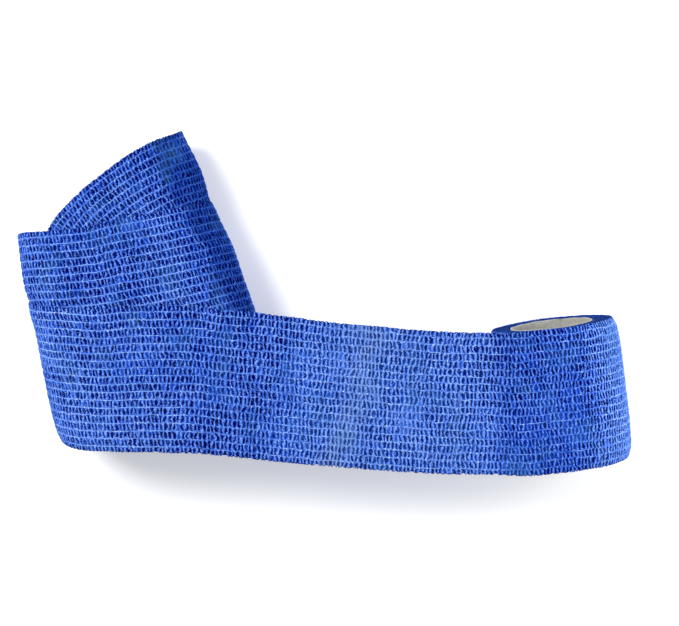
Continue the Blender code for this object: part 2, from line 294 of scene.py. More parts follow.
def turns_on_form():
    half = [k * ROUND_SHARE / ROUND_STEPS for k in range(ROUND_STEPS)]
    half += [
        lerp(ROUND_SHARE, 0.5 - ROUND_SHARE, k / FLAT_STEPS) for k in range(FLAT_STEPS + 1)
    ]
    half += [0.5 - k * ROUND_SHARE / ROUND_STEPS for k in range(ROUND_STEPS - 1, 0, -1)]
    start = PATH[0][0]
    places = [turn / 2 + share for turn in range(5) for share in half]
    inside = [t for t in places if start + 0.006 < t < FORM_UNTIL - 0.006]
    return np.array([start, *inside, FORM_UNTIL])


# ---------------------------------------------------------------- roll and strip
ROLL_AXIS = np.array([-math.sin(ROLL_TILT), math.cos(ROLL_TILT), 0.0])
ROLL_SIDE = np.array([math.cos(ROLL_TILT), math.sin(ROLL_TILT), 0.0])
ROLL_CENTRE = np.array([ROLL_X, ROLL_Y, AXIS_HEIGHT])


def crown(v):
    return ROLL_CROWN * (1.0 - np.abs(2.0 * v - 1.0) ** 4)


def roll_point(v, across, up):
    v, across, up = np.broadcast_arrays(v, across, up)
    return (
        ROLL_CENTRE
        + ROLL_AXIS * ((0.5 - v) * ROLL_LENGTH)[..., None]
        + ROLL_SIDE * across[..., None]
        + np.array([0.0, 0.0, 1.0]) * up[..., None]
    )


def tangent_section(depth, back, across):
    nx, nz = -math.sin(STRIP_SLOPE), math.cos(STRIP_SLOPE)
    radius = ROLL_RADIUS + crown(across) - depth
    return roll_point(across, nx * radius - nz * back, nz * radius + nx * back)


def strip_rows(across, count):
    last = turns_on_form()[[-3, -1]]
    knots = list(form_rows(last, across))
    for ux, uy, uz, lx, ly, lz in STRIP:
        up, low = np.array([ux, uy, uz]) * MM, np.array([lx, ly, lz]) * MM
        knots.append(
            lerp(up[None, :], low[None, :], across[:, None])
            - np.array([0.0, 0.0, BAND_THICK / 2])
        )
    knots.append(tangent_section(BAND_THICK / 2, NIP_UNDER + 0.010, across))
    knots.append(tangent_section(BAND_THICK / 2, NIP_UNDER, across))
    knots = np.array(knots)
    mids = knots.mean(axis=1)
    s = np.concatenate([[0.0], np.cumsum(np.linalg.norm(np.diff(mids, axis=0), axis=1))])
    return catmull_rom(np.linspace(s[1], s[-1], count + 1)[1:], s, knots)


ROLL_TURN_END = 2 * math.pi - STRIP_SLOPE - math.atan2(NIP_RUN, ROLL_RADIUS - BAND_THICK)


def wound_radius(angle):
    """Outside of the roll's last turn: it sinks one thickness in a turn."""
    return ROLL_RADIUS - BAND_THICK * (angle + STRIP_SLOPE) / (ROLL_TURN_END + STRIP_SLOPE)


def roll_rows(angles, across):
    r = wound_radius(angles)[:, None] + crown(across)[None, :] - BAND_THICK / 2
    up = r * np.cos(angles)[:, None]
    floor_up = -(AXIS_HEIGHT - BAND_THICK / 2)
    soft = 0.0002
    up = floor_up + soft * np.logaddexp(0.0, (up - floor_up) / soft)
    return roll_point(np.broadcast_to(across, r.shape), r * np.sin(angles)[:, None], up)


# ---------------------------------------------------------------- columns across the band
def column_places():
    """Places across the band's width, closer together at each thread."""
    near = (0.17, 0.55, 1.05)
    out = [0.0, 0.00035, 0.00085, 0.00140]
    for k, at in enumerate(THREAD_AT):
        before = [] if k == 0 else [at - d * MM for d in reversed(near)]
        after = [] if k == THREADS - 1 else [at + d * MM for d in near]
        if k == 0:
            before = [at - 0.00017]
        if k == THREADS - 1:
            after = [at + 0.00017]
        out += before + [at] + after
    out += [BAND_WIDTH - 0.00140, BAND_WIDTH - 0.00085, BAND_WIDTH - 0.00035, BAND_WIDTH]
    return np.array(out)


FINE = column_places()
HALF_FINE = np.array(
    [0.0, 0.0010]
    + [x for k in range(THREADS - 1) for x in (THREAD_AT[k], *(THREAD_AT[k] + THREAD_PITCH * f for f in (0.25, 0.5, 0.75)))]
    + [THREAD_AT[-1], BAND_WIDTH - 0.0010, BAND_WIDTH]
)
COARSE = np.concatenate([[0.0], THREAD_AT, [BAND_WIDTH]])


# ---------------------------------------------------------------- the band from end to end
def raw_course(across):
    """Rows of points on the band's middle surface from its free end to under the nip, and
    the row numbers at which the strip and the roll begin."""
    turns = np.linspace(PATH[0][0], FORM_UNTIL, 560)
    form = form_rows(turns, across)
    strip = strip_rows(across, 170)
    nip = np.array([tangent_section(BAND_THICK / 2, b, across) for b in (0.0030, 0.0018, 0.0007)])
    angles = np.radians(np.arange(-math.degrees(STRIP_SLOPE), 372.0, 1.6))
    wound = roll_rows(angles, across)
    rows = np.concatenate([form, strip, nip, wound])
    return rows - MIDDLE, turns, (len(form), len(form) + len(strip), len(form) + len(strip) + len(nip))


def run_of(line):
    return np.concatenate([[0.0], np.cumsum(np.linalg.norm(np.diff(line, axis=0), axis=-1))])


_mid, TURNS, ROWS_AT = raw_course(np.array([0.5]))
RAW_S = run_of(_mid[:, 0])
# the band eases off the form: its course there is averaged over a few millimetres
_near = np.exp(-(((RAW_S - RAW_S[ROWS_AT[0] - 1]) / 0.013) ** 2))
_width = 0.0001 + 0.0052 * _near
_weigh = np.exp(-0.5 * ((RAW_S[None, :] - RAW_S[:, None]) / _width[:, None]) ** 2) * np.gradient(RAW_S)[None, :]
_weigh = np.where(_near[:, None] > 0.02, _weigh / _weigh.sum(axis=1, keepdims=True), np.eye(len(RAW_S)))


def whole_course(across):
    rows = raw_course(across)[0]
    rows = np.tensordot(_weigh, rows, axes=(1, 0))
    # where it comes off the roll the band lies a little to one side of the inner turns
    aside = 0.0007 * np.exp(-(((RAW_S - RAW_S[ROWS_AT[2]] + 0.012) / 0.016) ** 2))
    return rows + ROLL_AXIS * aside[:, None, None]


COURSE_S = run_of(whole_course(np.array([0.5]))[:, 0])


def s_of_turn(turn):
    return float(np.interp(turn, TURNS, COURSE_S[: len(TURNS)]))


S_STRIP = float(COURSE_S[ROWS_AT[0] - 1])
S_ROLL = float(COURSE_S[ROWS_AT[2]])
S_END = float(COURSE_S[-1])


# ---------------------------------------------------------------- seeded noise
def hashed(row, k, salt):
    """A number from 0 to 1 for each pair of whole numbers."""
    a = (np.asarray(row, np.int64) * 73856093) ^ (np.asarray(k, np.int64) * 19349663) ^ (salt * 83492791)
    a = (a ^ (a >> 13)) * 1274126177
    a = (a ^ (a >> 16)) & 0xFFFFFF
    return a / float(0xFFFFFF)


def wander(row, x, salt):
    """Smooth noise along x from -1 to 1, of its own for each row."""
    k = np.floor(x).astype(np.int64)
    t = x - k
    t = t * t * (3 - 2 * t)
    return 2 * lerp(hashed(row, k, salt), hashed(row, k + 1, salt), t) - 1


def patchy(x, y, salt):
    """Smooth noise in the plane from -1 to 1."""
    k = np.floor(y).astype(np.int64)
    t = y - k
    t = t * t * (3 - 2 * t)
    return lerp(wander(k, x, salt), wander(k + 1, x, salt), t)


# ---------------------------------------------------------------- the crinkle
ROW_EDGES = np.concatenate([[0.0], THREAD_AT, [BAND_WIDTH]])


def pucker_table():
    """Puckers counted along the middle of each row between two threads. They lie closest
    together on the roll, and furthest apart on the drawn-out strip."""
    middle = (ROW_EDGES[1:] + ROW_EDGES[:-1]) / 2
    line = whole_course(middle / BAND_WIDTH)
    run = np.linalg.norm(np.diff(line, axis=0), axis=-1)
    s = np.array([0.0, S_STRIP - 0.03, S_STRIP + 0.02, S_ROLL - 0.04, S_ROLL + 0.01, S_END])
    pitch = np.array([1.40, 1.40, 1.50, 1.50, 1.32, 1.32]) * MM
    here = np.interp((COURSE_S[1:] + COURSE_S[:-1]) / 2, s, pitch)
    return np.concatenate([np.zeros((1, len(middle))), np.cumsum(run / here[:, None], axis=0)])


PUCKERS = pucker_table()


def puckers_before(s):
    return np.stack([np.interp(s, COURSE_S, PUCKERS[:, r]) for r in range(PUCKERS.shape[1])], axis=1)


def row_offsets():
    """What brings the rows' puckers into line with each other on the strip."""
    count = puckers_before(np.array([S_STRIP + 0.045]))[0]
    return np.round(count) - count


ROW_OFFSETS = row_offsets()


def looseness(s):
    """0 where the band is drawn tight round the form, 1 on the strip and the roll."""
    return smoothstep(S_STRIP - 0.012, S_STRIP + 0.05, s)


def over_cloth(s):
    """1 where the band lies on another turn of itself."""
    wrap = smoothstep(s_of_turn(1.05), s_of_turn(1.10), s) * (1 - smoothstep(S_STRIP - 0.012, S_STRIP, s))
    return wrap + smoothstep(S_ROLL, S_ROLL + 0.006, s)


def tone_light_and_shade_of(s, w):
    """How pale (up to 1) or deep (down to -1) the colour is: palest where the band is
    stretched most, with slow streaks. Partly painted light and shade: deepest, as painted
    shade, where the band comes onto the top of the roll, and paler, as painted light,
    round the roll's side beyond."""
    t1, t3 = s_of_turn(1.03), s_of_turn(2.03)
    # levels along the band: partly the cloth's own tone, partly painted light and shade
    levels = (
        (0.0, -0.62),
        (t1 - 0.010, -0.60),
        (t1 + 0.030, -0.56),
        (t3 - 0.010, -0.50),
        (t3 + 0.012, -0.16),
        (S_STRIP - 0.020, -0.30),
        (S_STRIP, -0.62),
        (S_STRIP + 0.028, -0.60),
        (S_STRIP + 0.050, -0.72),
        (S_STRIP + 0.062, 0.10),
        (S_STRIP + 0.072, 0.42),
        (S_STRIP + 0.088, 0.20),
        (S_ROLL - 0.034, 0.08),
        (S_ROLL - 0.020, -0.72),
        (S_ROLL - 0.006, -1.02),
        (S_ROLL + 0.006, -0.95),
        (S_ROLL + 0.015, -0.20),
        (S_ROLL + 0.022, 0.30),
        (S_ROLL + 0.035, 0.10),
        (S_ROLL + 0.060, -0.35),
        (S_END, -0.40),
    )
    tone_light_and_shade = np.interp(s, *zip(*levels))[:, None] + 0 * w[None, :]
    S, W = s[:, None], w[None, :]
    # painted shade where the band runs down one side of the form, on the first and second turns
    for turn, much, full, fades in ((0.462, 0.95, 0.005, 0.011), (1.462, 1.00, 0.0025, 0.0090)):
        away = np.abs(s - s_of_turn(turn))
        tone_light_and_shade = tone_light_and_shade - much * np.exp(-((np.maximum(away - full, 0) / fades) ** 2))[:, None]
    # painted light and shade across the band: centre, half length, from and to across, how much
    for at, half, none, full, much in (
        (s_of_turn(1.27), 0.016, 0.034, 0.022, -0.34),
        (s_of_turn(1.44), 0.009, 0.018, 0.008, -0.45),
        (S_STRIP + 0.003, 0.020, 0.020, 0.034, 0.38),
    ):
        part = smoothstep(min(none, full), max(none, full), W)
        part = part if full > none else 1 - part
        tone_light_and_shade = tone_light_and_shade + much * part * np.exp(-(((S - at) / half) ** 2))
    # slanted stretch marks on the strip
    for from_start, lean, wide, much in ((0.0727, -0.246, 0.0050, 0.62), (0.108, 0.08, 0.0040, 0.28), (0.1186, 0.0, 0.0036, 0.45), (0.052, -0.20, 0.0040, 0.15)):
        line = S_STRIP + from_start + lean * (W - BAND_WIDTH / 2)
        ragged = 0.0022 * wander(7, W / 0.006, 301)
        tone_light_and_shade = tone_light_and_shade + much * np.exp(-(((S - line - ragged) / wide) ** 2))
    tone_light_and_shade = tone_light_and_shade + 0.26 * patchy(S / 0.012, W / 0.014, 303) + 0.16 * patchy(S / 0.0042, W / 0.0050, 305)
    return tone_light_and_shade


def crinkle(s, w):
    """The cloth's relief at rows s and columns w: height off the middle surface, shift across
    the band, and what draws each pucker's valley: its phase, width and depth."""
    row = np.searchsorted(THREAD_AT, w + 1e-9)          # 0 and THREADS are the edge margins
    low, high = ROW_EDGES[row], ROW_EDGES[row + 1]
    shape = (len(s), len(w))
    q = np.broadcast_to(((w - low) / (high - low))[None, :], shape)
    R = np.broadcast_to(row[None, :], shape)
    S = np.broadcast_to(s[:, None], shape)
    W = np.broadcast_to(w[None, :], shape)
    loose = looseness(s)[:, None]
    in_line = ROW_OFFSETS[row][None, :] + 0.34 * patchy(S / 0.010, W / 0.0050, 7)
    Q = puckers_before(s)[:, row] + lerp(hashed(R, 0, 5), in_line, loose) + 0.24 * wander(R, S / 0.0029, 11)
    arch = 4 * q * (1 - q)
    # neighbouring valleys bow and lean towards and away from each other by turns
    turn_about = math.pi * Q + 6.3 * hashed(R, 0, 23) + 1.5 * wander(R, S / 0.007, 25)
    bow = 0.24 * wander(R, Q * 0.85, 21) + lerp(0.36, 0.26, loose) * np.cos(turn_about)
    slant = 0.30 * wander(R, Q * 0.75, 31) + 0.10 * wander(R, S / 0.009, 33)
    slant = slant + lerp(0.32, 0.24, loose) * np.sin(turn_about + 2.2 * wander(R, S / 0.011, 37))
    ragged = 0.15 * patchy(S / 0.00085 + 37.1 * R, W / 0.00080, 35)
    phase = Q + bow * (arch - 0.66) + slant * (q - 0.5) + ragged
    k = np.round(phase)
    off = phase - k
    # each valley has its own width, depth and ends; at the cut edges it runs out open
    ends = lerp(0.20, 0.13, loose)
    first = 0.02 + ends * hashed(R, k, 43)
    last = 0.02 + ends * hashed(R, k, 45)
    reach = np.where(R == 0, 1.0, smoothstep(0.0, 1.0, (q - first + 0.08) / 0.20))
    reach = reach * np.where(R == THREADS, 1.0, smoothstep(0.0, 1.0, (1 - q - last + 0.08) / 0.20))
    waist = 1.0 + 0.36 * wander(R * 977 + k.astype(np.int64), q * 2.6, 47)
    wide = np.clip((lerp(0.275, 0.245, loose) + 0.115 * hashed(R, k, 41)) * (0.55 + 0.45 * np.sqrt(np.clip(arch, 0, 1))) * waist, 0.12, 0.46)
    wide = np.where((R == 0) | (R == THREADS), np.maximum(wide, 0.26), wide)
    deep = (0.58 + 0.50 * hashed(R, k, 51)) * reach
    deep = deep * np.where(hashed(R, k, 61) < 0.05, 0.5, 1.0)
    area = patchy(S / 0.014, W / 0.016, 91)
    deep = deep * (1.0 - 0.28 * smoothstep(0.15, 0.75, area))
    wide = np.clip(wide * (1.04 - 0.20 * area), 0.10, 0.46)
    valley = deep * np.clip(1 - (off / wide) ** 2, 0.0, 1.0) ** 1.15
    crest = 0.14 * (hashed(R, np.floor(phase), 71) - 0.5) * np.clip(arch, 0, 1)
    puff = np.sqrt(np.clip(arch, 0, 1)) * (lerp(0.31, 0.15, loose) * MM) * (0.8 + 0.4 * hashed(R, np.floor(phase), 81))
    near_edge = np.clip(1 - np.minimum(w, BAND_WIDTH - w) / 0.0045, 0, 1)
    settled = over_cloth(s)[:, None] * near_edge[None, :]
    height = puff + lerp(-0.055, 0.105, loose) * MM + (crest - valley * (1 - 0.45 * settled)) * PIT_DEPTH
    height = height + 0.00004 * patchy(S / 0.0007, W / 0.0006, 95)
    # the thread itself: a fine cord at the join of two rows
    gap = np.minimum(np.where(R > 0, np.abs(W - low), 1.0), np.where(R < THREADS, np.abs(W - high), 1.0))
    cord = np.clip(1 - (gap / 0.00020) ** 2, 0.0, 1.0)
    height = height + 0.00010 * cord - 0.00085 * settled**1.5
    # threads wander, more where the band is loose; the cut edges are scalloped
    lines = np.arange(THREADS + 2)
    drift = (0.00010 + 0.00016 * looseness(s))[:, None] * (
        wander(lines[None, :], s[:, None] / 0.0052, 101) + 0.6 * wander(lines[None, :], s[:, None] / 0.0017, 103)
    )
    drift[:, 0] = 0.00014 * wander(0, s / 0.009, 105)
    drift[:, -1] = 0.00014 * wander(1, s / 0.009, 107)
    i = np.clip(np.searchsorted(ROW_EDGES, w, side="right") - 1, 0, THREADS)
    f = (w - ROW_EDGES[i]) / (ROW_EDGES[i + 1] - ROW_EDGES[i])
    shift = drift[:, i] * (1 - f) + drift[:, i + 1] * f
    rim = np.clip(1 - W / 0.0010, 0, 1) - np.clip(1 - (BAND_WIDTH - W) / 0.0010, 0, 1)
    shift = shift + rim * lerp(0.00038, 0.00058, loose) * (valley - 0.25)
    return height, shift, phase, wide, deep


# ---------------------------------------------------------------- making the sheets
_course_cache = {}
LIFT_MOST = BAND_THICK / 2 - 0.00002


def course_at(s, w):
    """The middle surface at rows s and columns w."""
    key = tuple(np.round(w, 7))
    if key not in _course_cache:
        _course_cache[key] = whole_course(w / BAND_WIDTH)
    return catmull_rom(s, COURSE_S, _course_cache[key])


def frame_at(s, w):
    """The middle surface, its normal and the direction across the band."""
    pad = np.concatenate([[s[0] - STEP], s, [s[-1] + STEP]])
    course = course_at(np.clip(pad, COURSE_S[0], COURSE_S[-1]), w)
    along = unit((course[2:] - course[:-2]))
    course = course[1:-1]
    across = unit(np.gradient(course, w, axis=1))
    return course, unit(np.cross(across, along)), across


def lowest_near(lift, own, step, top_w, under_w):
    """The least of the outer face's heights round each point of the coarser inner grid, so
    that the inner face never shows through the outer one. Where the outer face has no
    columns nearby, the inner grid's own heights."""
    rows = lift
    if step > 1:
        reach = step // 2
        padded = np.pad(lift, ((reach, reach), (0, 0)), mode="edge")
        rows = np.min([padded[i : i + len(lift)] for i in range(2 * reach + 1)], axis=0)
    rows = rows[::step]
    between = np.concatenate([[-1.0], (under_w[1:] + under_w[:-1]) / 2, [1.0]])
    out = own.copy()
    for j, (a, b) in enumerate(zip(between[:-1], between[1:])):
        near = (top_w >= a - 1e-7) & (top_w <= b + 1e-7)
        if near.any():
            out[:, j] = rows[:, near].min(axis=1)
    return out


def zip_strip(a, ta, b, tb, faces):
    """Triangles between two chains of points, a along one side and b along the other."""
    i = j = 0
    while i < len(a) - 1 or j < len(b) - 1:
        if j == len(b) - 1 or (i < len(a) - 1 and ta[i + 1] <= tb[j + 1] + 1e-12):
            faces.append((a[i], a[i + 1], b[j]))
            i += 1
        else:
            faces.append((a[i], b[j + 1], b[j]))
            j += 1


def quads(rows, cols, base, flip):
    i, j = np.meshgrid(np.arange(rows - 1), np.arange(cols - 1), indexing="ij")
    a = base + i * cols + j
    q = np.stack([a, a + 1, a + cols + 1, a + cols], axis=-1).reshape(-1, 4)
    return q[:, ::-1] if flip else q


def mesh_from(name, points, quad, tri, attributes, maps):
    """A mesh object from arrays: quads and triangles, point attributes and a UV map."""
    count4, count3 = len(quad), len(tri)
    loops = np.concatenate([quad.reshape(-1), tri.reshape(-1)]).astype(np.int32)
    starts = np.concatenate([np.arange(count4) * 4, count4 * 4 + np.arange(count3) * 3]).astype(np.int32)
    totals = np.concatenate([np.full(count4, 4), np.full(count3, 3)]).astype(np.int32)
    mesh = bpy.data.meshes.new(name)
    mesh.vertices.add(len(points))
    mesh.vertices.foreach_set("co", points.astype(np.float32).ravel())
    mesh.loops.add(len(loops))
    mesh.loops.foreach_set("vertex_index", loops)
    mesh.polygons.add(count4 + count3)
    mesh.polygons.foreach_set("loop_start", starts)
    mesh.polygons.foreach_set("loop_total", totals)
    mesh.polygons.foreach_set("use_smooth", np.ones(count4 + count3, bool))
    mesh.update(calc_edges=True)
    for key, values in attributes.items():
        layer = mesh.attributes.new(key, "FLOAT", "POINT")
        layer.data.foreach_set("value", np.asarray(values, np.float32).ravel())
    if maps is not None:
        layer = mesh.uv_layers.new(name="OFBake", do_init=False)
        layer.uv.foreach_set("vector", maps[loops].astype(np.float32).ravel())
    mesh.validate()
    thing = bpy.data.objects.new(name, mesh)
    bpy.context.scene.collection.objects.link(thing)
    return thing


def make_sheet(name, s0, s1, top_w, under_w, under_step, seen_under, material):
    """A closed thin sheet of the band from s0 to s1. The inner face is coarser, and flat
    where it is never seen."""
    steps = max(2 * under_step, int(round((s1 - s0) / STEP / under_step)) * under_step)
    s_top = np.linspace(s0, s1, steps + 1)
    s_under = s_top[::under_step]
    height, shift, *drawn_t = crinkle(s_top, top_w)
    lift = np.minimum(height + CLOTH / 2, LIFT_MOST)
    course, normal, across = frame_at(s_top, top_w)
    top = course + normal * lift[..., None] + across * shift[..., None]

    height_u, shift_u, *drawn_u = crinkle(s_under, under_w)
    own = np.minimum(height_u + CLOTH / 2, LIFT_MOST)
    low = lowest_near(lift, own, under_step, top_w, under_w) - CLOTH
    low[:, [0, -1]] = lift[::under_step][:, [0, -1]] - 0.8 * CLOTH
    if not seen_under:
        inner = (under_w > 0.002) & (under_w < BAND_WIDTH - 0.002)
        low[:, inner] = np.minimum(low[:, inner], -BAND_THICK / 2)
    course, normal, across = frame_at(s_under, under_w)
    under = course + normal * low[..., None] + across * shift_u[..., None]

    nt, mt = top.shape[:2]
    nu, mu = under.shape[:2]
    base = nt * mt
    quad = np.concatenate([quads(nt, mt, 0, False), quads(nu, mu, base, True)])
    tri = []
    T = np.arange(nt * mt).reshape(nt, mt)
    U = base + np.arange(nu * mu).reshape(nu, mu)
    zip_strip(T[:, 0], s_top, U[:, 0], s_under, tri)
    rim = []
    zip_strip(T[:, -1], s_top, U[:, -1], s_under, rim)
    tri += [t[::-1] for t in rim]
    rim = []
    zip_strip(T[0], top_w, U[0], under_w, rim)
    tri += [t[::-1] for t in rim]
    zip_strip(T[-1], top_w, U[-1], under_w, tri)
    points = np.concatenate([top.reshape(-1, 3), under.reshape(-1, 3)])

    def both(a, b):
        return np.concatenate([np.asarray(a).ravel(), np.asarray(b).ravel()])

    (st, wt), (su, wu) = (np.broadcast_arrays(s[:, None], w[None, :]) for s, w in ((s_top, top_w), (s_under, under_w)))
    attributes = {
        "pucker": both(drawn_t[0], drawn_u[0]),
        "wide": both(drawn_t[1], drawn_u[1]),
        "deep": both(drawn_t[2], drawn_u[2]),
        "tone_light_and_shade": both(tone_light_and_shade_of(s_top, top_w), tone_light_and_shade_of(s_under, under_w)),
        "tight": 1 - looseness(both(st, su)),
        "along": both(st, su),
        "across": both(wt, wu),
    }
    # the bake's map: outer face in one half, inner face in the other
    long = s1 - s0
    u = both((st - s0) / long, (su - s0) / long) * 0.996 + 0.002
    v = both(wt / BAND_WIDTH * 0.49 + 0.002, wu / BAND_WIDTH * 0.49 + 0.508)
    thing = mesh_from(name, points, quad, np.array(tri), attributes, np.stack([u, v], 1))
    # the sheet's two ends are cut square, so that the next sheet joins it without a shade
    ends = np.zeros(len(points), bool)
    ends[np.concatenate([T[0], T[-1], U[0], U[-1]])] = True
    sharpen(thing.data, ends)
    thing.data.materials.append(material)
    tris = 2 * len(quad) + len(tri)
    print("PIECE", name, "length", round(long * 1000, 1), "tris", tris)
    return thing, long


def sharpen(mesh, chosen):
    """Marks the edges between two chosen points as sharp."""
    pairs = np.zeros(2 * len(mesh.edges), np.int32)
    mesh.edges.foreach_get("vertices", pairs)
    pairs = pairs.reshape(-1, 2)
    layer = mesh.attributes.new("sharp_edge", "BOOLEAN", "EDGE")
    layer.data.foreach_set("value", chosen[pairs[:, 0]] & chosen[pairs[:, 1]])


# ---------------------------------------------------------------- materials
class Graph:
    """A few short cuts for building a material's nodes."""

    def __init__(self, name):
        self.material = bpy.data.materials.new(name)
        self.material.use_nodes = True
        self.tree = self.material.node_tree
        self.tree.nodes.clear()
        self.out = self.tree.nodes.new("ShaderNodeOutputMaterial")
        self.shader = self.tree.nodes.new("ShaderNodeBsdfPrincipled")
        self.link(self.shader.outputs[0], self.out.inputs["Surface"])

    def link(self, a, b):
        self.tree.links.new(a, b)

    def put(self, socket, value):
        if isinstance(value, bpy.types.NodeSocket):
            self.link(value, socket)
        else:
            socket.default_value = value

    def attribute(self, name):
        n = self.tree.nodes.new("ShaderNodeAttribute")
        n.attribute_name = name
        return n.outputs["Fac"]

    def math(self, op, a, b=0.0, c=0.0):
        n = self.tree.nodes.new("ShaderNodeMath")
        n.operation = op
        self.put(n.inputs[0], a)
        self.put(n.inputs[1], b)
        self.put(n.inputs[2], c)
        return n.outputs[0]

    def remap(self, x, a, b, c=0.0, d=1.0):
        n = self.tree.nodes.new("ShaderNodeMapRange")
        n.interpolation_type = "SMOOTHSTEP"
        n.clamp = True
        self.put(n.inputs[0], x)
        for i, v in enumerate((a, b, c, d)):
            self.put(n.inputs[1 + i], v)
        return n.outputs[0]

    def mix(self, factor, a, b, mode="MIX"):
        n = self.tree.nodes.new("ShaderNodeMix")
        n.data_type = "RGBA"
        n.blend_type = mode
        self.put(n.inputs[0], factor)
        for socket, value in ((n.inputs[6], a), (n.inputs[7], b)):
            self.put(socket, value if isinstance(value, bpy.types.NodeSocket) else (*value, 1.0))
        return n.outputs[2]

    def vector(self, x, y, z=0.0):
        n = self.tree.nodes.new("ShaderNodeCombineXYZ")
        for i, v in enumerate((x, y, z)):
            self.put(n.inputs[i], v)
        return n.outputs[0]

    def noise(self, vector, scale, detail=2.0, rough=0.5):
        n = self.tree.nodes.new("ShaderNodeTexNoise")
        self.link(vector, n.inputs["Vector"])
        n.inputs["Scale"].default_value = scale
        n.inputs["Detail"].default_value = detail
        n.inputs["Roughness"].default_value = rough
        return n.outputs["Fac"]

    def bump(self, height, strength, distance, normal=None):
        n = self.tree.nodes.new("ShaderNodeBump")
        n.inputs["Strength"].default_value = strength
        n.inputs["Distance"].default_value = distance
        self.link(height, n.inputs["Height"])
        if normal is not None:
            self.link(normal, n.inputs["Normal"])
        return n.outputs[0]


def fine_cloth(g, along, across):
    """Noises in the cloth's own coordinates: clumps, grain and fibres."""
    def at(u, v, detail, rough):
        return g.noise(g.vector(g.math("MULTIPLY", along, u), g.math("MULTIPLY", across, v)), 1.0, detail, rough)

    return at(2100.0, 1700.0, 2.0, 0.6), at(5200.0, 4200.0, 2.0, 0.6), at(8000.0, 1500.0, 3.0, 0.6)


def cloth_finish(g, colour, height, clumps, grain, fibres):
    g.put(g.shader.inputs["Base Color"], colour)
    g.put(g.shader.inputs["Roughness"], g.remap(fibres, 0.3, 0.8, 0.74, 0.94))
    g.shader.inputs["Specular IOR Level"].default_value = 0.005
    first = g.bump(height, 0.9, 0.00030)
    second = g.bump(fibres, 0.6, 0.00012, first)
    g.link(g.bump(grain, 0.5, 0.00010, second), g.shader.inputs["Normal"])


